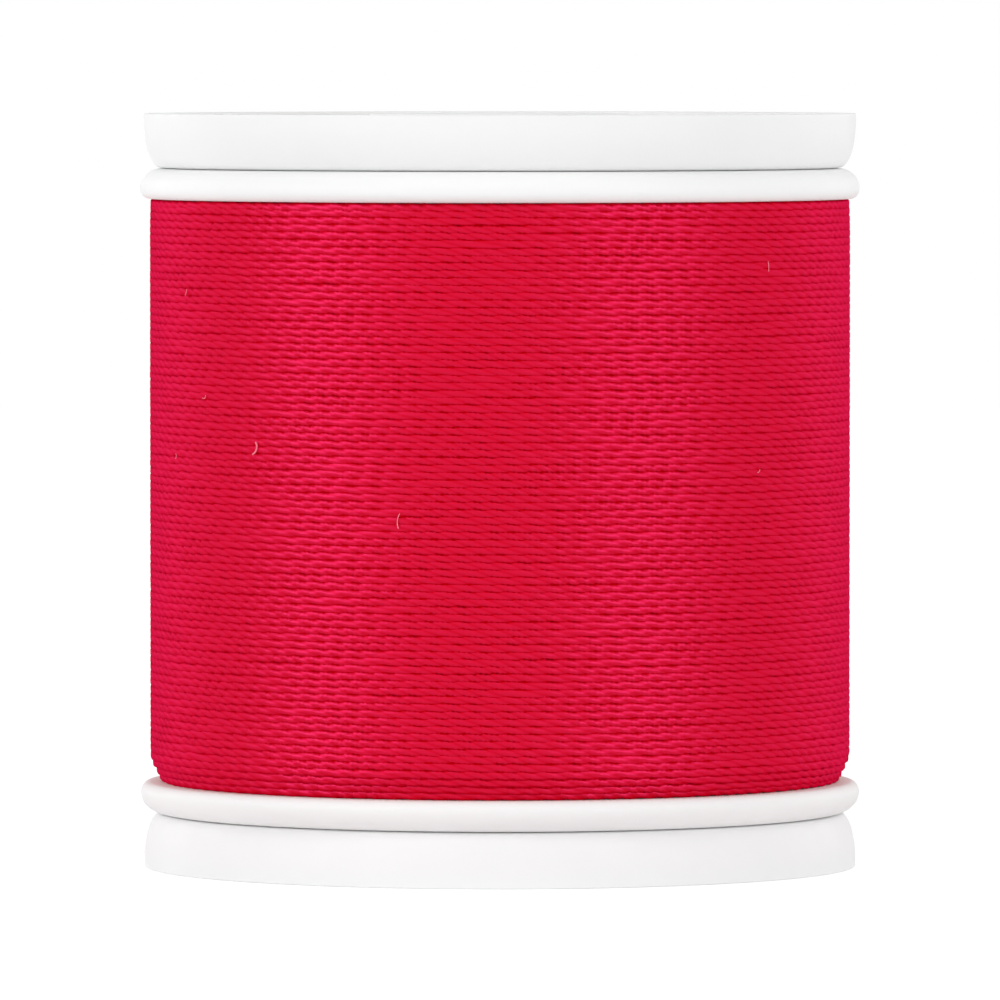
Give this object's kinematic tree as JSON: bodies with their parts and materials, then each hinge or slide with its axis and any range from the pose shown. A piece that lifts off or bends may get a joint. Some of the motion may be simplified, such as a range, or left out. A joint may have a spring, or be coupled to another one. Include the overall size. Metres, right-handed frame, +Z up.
{
  "type": "spool of thread",
  "caption": "Small plastic snap spool with a sliding cap at each end, wound evenly with deep red twisted sewing thread.",
  "frame": {"origin": "under the middle of the spool, on the plane it stands on (the lower cap's outer face)", "axes": "+Z up along the spool's axis, from the lower cap to the upper cap; -Y towards the camera"},
  "size_m": [0.028, 0.028, 0.0294],
  "materials": {
    "body_plastic": "satin moulded white",
    "cap_plastic": "satin moulded white, a touch cooler",
    "label_paper": "uncoated, bare",
    "thread": "deep red three-ply thread, Z twist, slight sheen",
    "inner_thread": "deep red, as the outer layer"
  },
  "bodies": {
    "spool": {"spool_body": "body_plastic", "thread_inner_layers": "inner_thread", "thread_outer_layer": "thread"},
    "upper_cap": {"upper_snap_cap": "cap_plastic", "upper_end_label": "label_paper"},
    "lower_cap": {"lower_snap_cap": "cap_plastic", "lower_end_label": "label_paper"}
  },
  "joints": [
    {"name": "upper_cap_lift", "type": "slide", "parent": "spool", "child": "upper_cap", "axis": [0, 0, 1], "range_m": [0, 0.0015]},
    {"name": "lower_cap_pull", "type": "slide", "parent": "spool", "child": "lower_cap", "axis": [0, 0, -1], "range_m": [0, 0.0015]}
  ]
}
